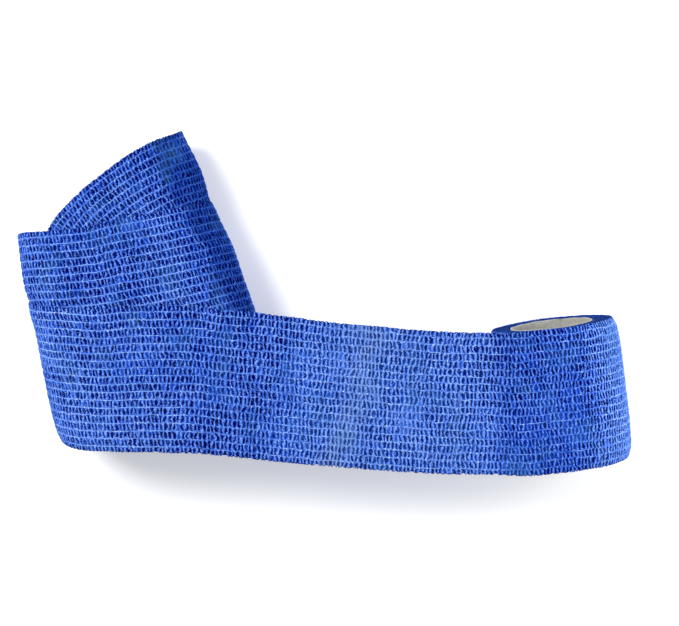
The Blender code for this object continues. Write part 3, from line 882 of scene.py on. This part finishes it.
def cloth_material(name):
    g = Graph(name)
    pucker, wide, deep = g.attribute("pucker"), g.attribute("wide"), g.attribute("deep")
    tone_light_and_shade, tight = g.attribute("tone_light_and_shade"), g.attribute("tight")
    along, across = g.attribute("along"), g.attribute("across")
    clumps, grain, fibres = fine_cloth(g, along, across)
    # each valley again at full sharpness, with a ragged outline
    moved = g.math("MULTIPLY_ADD", clumps, 0.90, g.math("ADD", pucker, 0.05))
    moved = g.math("MULTIPLY_ADD", grain, 0.34, g.math("SUBTRACT", moved, 0.17))
    off = g.math("ABSOLUTE", g.math("SUBTRACT", g.math("FRACT", moved), 0.5))
    ratio = g.math("DIVIDE", off, wide)
    bowl = g.math("MAXIMUM", g.math("SUBTRACT", 1.0, g.math("MULTIPLY", ratio, ratio)), 0.0)
    valley = g.math("MULTIPLY", bowl, deep)
    # painted highlight on the crest of each pucker, in short broken lengths
    crest = g.remap(g.math("MULTIPLY_ADD", grain, 0.50, off), 0.53, 0.71)
    broken = g.noise(g.vector(g.math("MULTIPLY", along, 1300.0), g.math("MULTIPLY", across, 750.0), 5.3), 1.0, 2.0, 0.6)
    crest = g.math("MULTIPLY", crest, g.remap(broken, 0.34, 0.60, 0.25, 1.0))
    colour = g.mix(crest, LOOK["middle"], LOOK["ridge"])
    colour = g.mix(g.remap(clumps, 0.48, 0.34, 0.0, 0.55), colour, LOOK["under"])
    # painted shade in the pucker valleys: their dark colour stands in for the shade there
    ragged = g.math("MULTIPLY_ADD", g.math("SUBTRACT", grain, 0.5), 0.7, valley)
    valley_shade = g.mix(g.remap(tone_light_and_shade, -0.40, 0.60), LOOK["valley"], LOOK["pale_valley_shade"])
    colour = g.mix(g.remap(ragged, 0.18, 0.60), colour, valley_shade)
    # paler fibres on the ridges, partly a painted highlight, kept out of the valleys
    open_to_light = g.remap(valley, 0.30, 0.0)
    colour = g.mix(g.math("MULTIPLY", g.remap(fibres, 0.52, 0.72, 0.0, 0.55), open_to_light), colour, LOOK["pale"])
    # stray fibres: thin pale curls
    curl = g.noise(g.vector(g.math("MULTIPLY", along, 620.0), g.math("MULTIPLY", across, 620.0), 3.7), 1.0, 2.0, 0.5)
    curl = g.math("ABSOLUTE", g.math("SUBTRACT", curl, 0.5))
    colour = g.mix(g.math("MULTIPLY", g.remap(curl, 0.016, 0.003, 0.0, 0.40), g.remap(valley, 0.8, 0.2)), colour, LOOK["pale"])
    # threads: a pale broken cord
    line = g.math("MULTIPLY_ADD", across, 1.0 / THREAD_PITCH, -FIRST_THREAD / THREAD_PITCH)
    whole = g.math("ROUND", line)
    gap = g.math("ABSOLUTE", g.math("SUBTRACT", line, whole))
    gap = g.math("MULTIPLY_ADD", g.math("SUBTRACT", grain, 0.5), 0.06, gap)
    dash = g.noise(g.vector(g.math("MULTIPLY", along, 950.0), g.math("MULTIPLY", whole, 7.3)), 1.0, 2.0, 0.6)
    whole_thread = g.math("MULTIPLY_ADD", tight, 0.50, 0.05)
    shown = g.math("MULTIPLY", g.remap(gap, 0.060, 0.020), g.remap(dash, 0.40, 0.62, whole_thread, 1.0))
    buried = g.noise(g.vector(g.math("MULTIPLY", along, 150.0), g.math("MULTIPLY", across, 130.0), 4.4), 1.0, 2.0, 0.5)
    buried = g.math("MAXIMUM", g.remap(buried, 0.40, 0.60, 0.25, 1.0), g.math("MULTIPLY", tight, 0.60))
    shown = g.math("MULTIPLY", shown, buried)
    colour = g.mix(shown, colour, LOOK["thread"])
    # bright specks near the threads: painted glints on loose fibres
    glint_speck = g.noise(g.vector(g.math("MULTIPLY", along, 1900.0), g.math("MULTIPLY", across, 1900.0), 9.1), 1.0, 1.0, 0.5)
    colour = g.mix(g.math("MULTIPLY", g.remap(glint_speck, 0.62, 0.72), g.remap(gap, 0.30, 0.06, 0.30, 0.95)), colour, LOOK["glint_speck"])
    # painted shade at the cut edges, between the puckers
    rim = g.math("MINIMUM", across, g.math("SUBTRACT", BAND_WIDTH, across))
    rim = g.math("MULTIPLY", g.remap(rim, 0.00050, 0.00015), g.remap(off, 0.42, 0.26))
    colour = g.mix(rim, colour, LOOK["valley"])
    # deeper or paler tone along the band, partly painted shade and painted light
    kept = g.math("MULTIPLY_ADD", g.math("MAXIMUM", crest, shown), -0.66, 1.0)
    kept = g.math("MAXIMUM", kept, g.remap(tone_light_and_shade, -1.15, -1.60))
    colour = g.mix(g.math("MULTIPLY", g.remap(tone_light_and_shade, 0.0, -1.0, 0.0, 1.0), kept), colour, LOOK["deepen_and_shade"], "MULTIPLY")
    # the deepest tones are painted shade
    colour = g.mix(g.remap(tone_light_and_shade, -1.05, -1.75), colour, LOOK["deepest_shade"], "MULTIPLY")
    blotch = g.noise(g.vector(g.math("MULTIPLY", along, 95.0), g.math("MULTIPLY", across, 70.0), 2.2), 1.0, 2.0, 0.6)
    colour = g.mix(g.remap(blotch, 0.48, 0.80, 0.0, 0.30), colour, LOOK["teal"])
    # the paler tone is partly painted light
    washed_and_lit = g.math("MULTIPLY", g.remap(tone_light_and_shade, 0.0, 1.3, 0.0, 0.42), g.remap(valley, 0.75, 0.15, 0.18, 1.0))
    colour = g.mix(washed_and_lit, colour, LOOK["washed_and_lit"])
    height = g.math("MULTIPLY_ADD", shown, 0.35, g.math("MULTIPLY", valley, -1.0))
    cloth_finish(g, colour, height, clumps, grain, fibres)
    return g.material


def cut_edge_material(name):
    """The roll's two end faces: the cut edges of the winding, seen end on."""
    g = Graph(name)
    along, across = g.attribute("along"), g.attribute("across")
    clumps, grain, fibres = fine_cloth(g, along, across)
    # each turn's edge again at full sharpness: 0 along its middle, 0.5 halfway to the next
    off = g.math("ARCTAN2", g.attribute("turn_sin"), g.attribute("turn_cos"))
    off = g.math("ABSOLUTE", g.math("DIVIDE", off, 2 * math.pi))
    off = g.math("MULTIPLY_ADD", g.math("SUBTRACT", clumps, 0.5), 0.26, off)
    valley = g.remap(off, 0.17, 0.36)
    broken = g.noise(g.vector(g.math("MULTIPLY", along, 520.0), g.math("MULTIPLY", across, 900.0), 6.1), 1.0, 2.0, 0.6)
    colour = g.mix(g.remap(broken, 0.36, 0.62), EDGE_LOOK["middle"], EDGE_LOOK["ridge"])
    colour = g.mix(g.remap(grain, 0.58, 0.74, 0.0, 0.5), colour, EDGE_LOOK["pale"])
    # painted shade in the gaps between the turns' edges
    colour = g.mix(valley, colour, EDGE_LOOK["valley"])
    cloth_finish(g, colour, g.math("MULTIPLY", valley, -0.5), clumps, grain, fibres)
    return g.material


# Several of these colours paint light and shade: the ridge colour is a painted highlight, the valley colours painted
# shade, the deepening colours partly painted shade, the paler washed colour partly painted light, the speck colour
# painted glints.
LOOK = dict(
    ridge=(0.188, 0.378, 0.980),
    middle=(0.018, 0.086, 0.515),
    under=(0.008, 0.052, 0.400),
    valley=(0.000, 0.003, 0.155),
    pale_valley_shade=(0.000, 0.027, 0.245),
    thread=(0.390, 0.600, 1.000),
    pale=(0.210, 0.390, 0.930),
    glint_speck=(0.700, 0.840, 1.000),
    deepen_and_shade=(0.24, 0.41, 0.71),
    deepest_shade=(0.50, 0.56, 0.66),
    washed_and_lit=(0.200, 0.320, 0.560),
    teal=(0.055, 0.195, 0.480),
)
# the end faces' colours are darker than the band's outer face, partly painted shade
EDGE_LOOK = dict(
    ridge=(0.020, 0.074, 0.380),
    middle=(0.008, 0.036, 0.225),
    valley=(0.001, 0.006, 0.062),
    pale=(0.060, 0.140, 0.470),
)
cloth = cloth_material("cloth_blue")

# ---------------------------------------------------------------- the band's sheets
T1, T2 = s_of_turn(1.03), s_of_turn(1.52)
T3 = s_of_turn(2.03)
# the first turn's outer face is covered by the second from here on
covered = THREAD_AT[11] + 0.0006
FIRST_TOP = np.concatenate([FINE[FINE <= covered], COARSE[COARSE > covered]])
FEW = np.array([0.0, 0.0010, 0.0022, 0.0080, 0.0170, 0.0254, 0.0338, 0.0428, BAND_WIDTH - 0.0022, BAND_WIDTH - 0.0010, BAND_WIDTH])
PLAN = (
    # name, from, to, outer face's columns, inner face's columns and row step, is it seen
    ("wrap_first_turn", 0.0, T1, FIRST_TOP, HALF_FINE, 2, True),
    ("wrap_second_turn_back", T1, T2, FINE, HALF_FINE, 2, True),
    ("wrap_second_turn_palm", T2, T3, FINE, HALF_FINE, 2, True),
    ("wrap_third_turn", T3, S_STRIP + 0.010, FINE, HALF_FINE, 2, True),
    ("strip", S_STRIP + 0.010, S_ROLL - 0.004, FINE, HALF_FINE, 2, True),
    ("roll_outer_turn", S_ROLL - 0.004, S_END - 0.0005, FINE, FEW, 1, False),
)
sheets = []
for name, s0, s1, top_w, under_w, step, seen in PLAN:
    piece, long = make_sheet(name, s0, s1, top_w, under_w, step, seen, cloth)
    sheets.append((piece, long))


# ---------------------------------------------------------------- the wound turns inside
LAYER = 0.00058              # from one wound turn to the next
BODY_CLEAR = 0.00012


def make_roll_body(material):
    """The inner turns: both end faces show the cut edges of the winding."""
    around, radial = 500, 62
    bore = CORE_OUTER + 0.0003
    angle = np.linspace(0, 2 * math.pi, around, endpoint=False)
    # its outside lies just under the outer turn, with the step under the nip
    turn = (angle + STRIP_SLOPE) % (2 * math.pi)
    outer = ROLL_RADIUS - BAND_THICK * turn / (2 * math.pi) - BAND_THICK - BODY_CLEAR
    attrs = {"turn_sin": [], "turn_cos": [], "along": [], "across": []}
    faces_grid = []
    for side, v in ((+1, 0.0), (-1, 1.0)):
        share = np.linspace(0, 1, radial + 1)
        rho = bore + share[:, None] * (outer[None, :] - bore)
        arc = angle[None, :] * rho
        layer = (ROLL_RADIUS - rho) / LAYER - angle[None, :] / (2 * math.pi)
        whole = np.floor(layer)
        puck = arc / 0.00138 + 7.3 * hashed(whole, 0, 201 + side)
        wob = 0.20 * wander(whole, puck * 1.7, 203 + side) + 0.10 * wander(whole, puck * 0.5, 205)
        layer = layer + wob
        whole = np.floor(layer)
        t = layer - whole
        ridge = np.clip(1 - ((t - 0.5) / 0.46) ** 2, 0, 1) ** 0.6
        tall = 0.00030 * (0.6 + 0.5 * hashed(whole, 0, 207 + side)) * (
            0.75 + 0.35 * wander(whole, puck * 1.3, 209 + side)
        )
        fade = np.clip(share[:, None] / 0.03, 0, 1)
        tele = 0.00018 * wander(np.zeros_like(whole), layer * 0.5, 211 + side)
        height = ridge * tall * fade + tele * fade
        base = ROLL_LENGTH / 2 - 0.00045
        pos = (
            ROLL_CENTRE - MIDDLE
            + ROLL_SIDE * (rho * np.sin(angle)[None, :])[..., None]
            + np.array([0, 0, 1.0]) * np.maximum(rho * np.cos(angle)[None, :], -(AXIS_HEIGHT - BAND_THICK - BODY_CLEAR))[..., None]
            + ROLL_AXIS * (side * (base + height))[..., None]
        )
        faces_grid.append(pos)
        attrs["turn_sin"].append(np.sin(2 * math.pi * (t - 0.5)))
        attrs["turn_cos"].append(np.cos(2 * math.pi * (t - 0.5)))
        attrs["along"].append(arc + whole * 0.0137)
        attrs["across"].append(rho)
    n = radial + 1
    points, quad = [], []
    base = 0
    for side, pos in zip((+1, -1), faces_grid):
        points.append(pos.reshape(-1, 3))
        i, j = np.meshgrid(np.arange(n - 1), np.arange(around), indexing="ij")
        jn = (j + 1) % around
        a = base + i * around + j
        q = np.stack([a, base + i * around + jn, base + (i + 1) * around + jn, a + around], axis=-1).reshape(-1, 4)
        quad.append(q if side > 0 else q[:, ::-1])
        base += n * around
    # outside and bore: rows of quads between the two end faces
    for ring, flip in ((n - 1, False), (0, True)):
        j = np.arange(around)
        jn = (j + 1) % around
        a, b = ring * around, n * around + ring * around
        q = np.stack([a + j, a + jn, b + jn, b + j], axis=-1)
        quad.append(q[:, ::-1] if flip else q)
    points = np.concatenate(points)
    quad = np.concatenate(quad)
    flat = {k: np.concatenate([x.ravel() for x in v]) for k, v in attrs.items()}
    # the bake's map: two discs side by side
    local = points - (ROLL_CENTRE - MIDDLE)
    x, z = local @ ROLL_SIDE, local[:, 2]
    left = (local @ ROLL_AXIS) < 0
    span = 2 * (ROLL_RADIUS + 0.0005)
    uv = np.stack([(x / span + 0.5) * 0.49 + np.where(left, 0.505, 0.005), z / span + 0.5], 1)
    thing = mesh_from("roll_inner_turns", points, quad, np.zeros((0, 3), int), flat, uv)
    thing.data.materials.append(material)
    print("PIECE roll_inner_turns tris", 2 * len(quad))
    return thing


end_cloth = cut_edge_material("cloth_cut_edges")
body = make_roll_body(end_cloth)


# ---------------------------------------------------------------- the paper tube
def paper_material():
    g = Graph("paper_tube")
    where = g.tree.nodes.new("ShaderNodeTexCoord").outputs["Object"]
    mottled = g.noise(where, 700.0, 3.0, 0.6)
    broad = g.noise(where, 90.0, 2.0, 0.5)
    # the greys are darker than pale paper: painted shade, as in a shaded bore, over the whole tube
    colour = g.mix(g.remap(mottled, 0.35, 0.70), (0.290, 0.292, 0.272), (0.390, 0.392, 0.374))
    colour = g.mix(g.remap(broad, 0.42, 0.70, 0.0, 0.7), colour, (0.345, 0.325, 0.268))
    g.put(g.shader.inputs["Base Color"], colour)
    g.put(g.shader.inputs["Roughness"], g.remap(mottled, 0.3, 0.7, 0.70, 0.88))
    g.shader.inputs["Specular IOR Level"].default_value = 0.3
    g.link(g.bump(mottled, 0.4, 0.00008), g.shader.inputs["Normal"])
    return g.material


def make_tube(material):
    around = 160
    angle = np.linspace(0, 2 * math.pi, around, endpoint=False)
    half = CORE_LENGTH / 2
    r0, r1, soft = CORE_INNER, CORE_OUTER, 0.00016
    inside = [(r0, x) for x in np.linspace(-half + soft, half - soft, 60)]
    outside = [(r1, x) for x in np.linspace(half - soft, -half + soft, 24)]
    profile = inside + [(r0 + soft * 0.3, half - soft * 0.3), (r0 + soft, half), (r1 - soft, half), (r1 - soft * 0.3, half - soft * 0.3)]
    profile += outside + [(r1 - soft * 0.3, -half + soft * 0.3), (r1 - soft, -half), (r0 + soft, -half), (r0 + soft * 0.3, -half + soft * 0.3)]
    rows = []
    for r, x in profile:
        # the plies' spiral seam shows as a fine groove
        seam = (angle / (2 * math.pi) + x / 0.046) % 1.0
        groove = np.exp(-((np.minimum(seam, 1 - seam) * 0.046) / 0.0007) ** 2)
        inner_face = r < r0 + soft * 0.1
        rr = r + (0.00011 * groove if inner_face else -0.00006 * groove * (r > r1 - soft * 0.1))
        wave = 0.00005 * np.sin(3 * angle + x * 90.0)
        pos = (
            ROLL_CENTRE - MIDDLE
            + ROLL_SIDE * ((rr + wave) * np.sin(angle))[:, None]
            + np.array([0, 0, 1.0]) * ((rr + wave) * np.cos(angle))[:, None]
            + ROLL_AXIS * (x + 0.00012 * (abs(x) > half - soft * 0.5) * np.sin(9 * angle + 2) * np.sin(4 * angle))[:, None]
        )
        rows.append(pos)
    n = len(rows)
    points = np.concatenate(rows)
    quad = []
    for i in range(n):
        a, b = i * around, ((i + 1) % n) * around
        j = np.arange(around)
        jn = (j + 1) % around
        quad.append(np.stack([a + j, b + j, b + jn, a + jn], axis=-1))
    quad = np.concatenate(quad)
    thing = mesh_from("tube", points, quad, np.zeros((0, 3), int), {}, None)
    thing.data.materials.append(material)
    print("PIECE tube tris", 2 * len(quad))
    return thing


tube = make_tube(paper_material())

# ---------------------------------------------------------------- how the pieces ride
for piece, long in sheets:
    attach(piece, "root")
    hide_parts("bandage")
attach(body, "root")
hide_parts("bandage")
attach(tube, "root")
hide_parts("core")


# ---------------------------------------------------------------- floor, light and camera
def make_floor():
    mesh = bpy.data.meshes.new("floor")
    r = 3.0
    mesh.from_pydata([(-r, -r, 0), (r, -r, 0), (r, r, 0), (-r, r, 0)], [], [(0, 1, 2, 3)])
    mesh.transform(Matrix.Translation((0, 0, -0.00002)))
    thing = bpy.data.objects.new("floor", mesh)
    bpy.context.scene.collection.objects.link(thing)
    g = Graph("floor_pale")
    g.shader.inputs["Base Color"].default_value = (0.86, 0.86, 0.86, 1)
    g.shader.inputs["Emission Color"].default_value = (1, 1, 1, 1)     # a faintly lit table
    g.shader.inputs["Emission Strength"].default_value = 0.27
    g.shader.inputs["Roughness"].default_value = 0.9
    g.shader.inputs["Specular IOR Level"].default_value = 0.1
    mesh.materials.append(g.material)


def area_light(name, where, at, size, power, colour=(1, 1, 1)):
    data = bpy.data.lights.new(name, "AREA")
    data.shape = "RECTANGLE"
    data.size, data.size_y = size
    data.energy = power
    data.color = colour
    thing = bpy.data.objects.new(name, data)
    thing.location = where
    thing.rotation_mode = "QUATERNION"
    thing.rotation_quaternion = (Vector(at) - Vector(where)).to_track_quat("-Z", "Y")
    thing.visible_camera = False
    bpy.context.scene.collection.objects.link(thing)


make_floor()
area_light("key", (-0.58, 0.40, 0.76), (0.0, 0.0, 0.02), (0.36, 0.36), 10.0)
area_light("fill", (0.31, 0.01, 0.14), (0.10, -0.03, 0.03), (0.14, 0.14), 0.68)
world = bpy.data.worlds.new("studio")
world.use_nodes = True
back = next(n for n in world.node_tree.nodes if n.type == "BACKGROUND")
back.inputs[0].default_value = (0.96, 0.98, 1.0, 1)
back.inputs[1].default_value = 0.52
bpy.context.scene.world = world

camera = bpy.data.cameras.new("camera")
camera.sensor_fit = "HORIZONTAL"
camera.sensor_width = 36.0
camera.lens = 2414.0 / 679.0 * 36.0
camera.clip_start, camera.clip_end = 0.05, 20.0
eye = bpy.data.objects.new("camera", camera)
tilt = math.radians(5.2)
target = Vector((0.0055, -0.0025, 0.040))
eye.location = target + 0.85 * Vector((0.0, math.sin(tilt), math.cos(tilt)))
eye.rotation_mode = "XYZ"
eye.rotation_euler = (-tilt, 0.0, 0.0)
bpy.context.scene.collection.objects.link(eye)
bpy.context.scene.camera = eye
bpy.context.scene.view_settings.view_transform = "Standard"
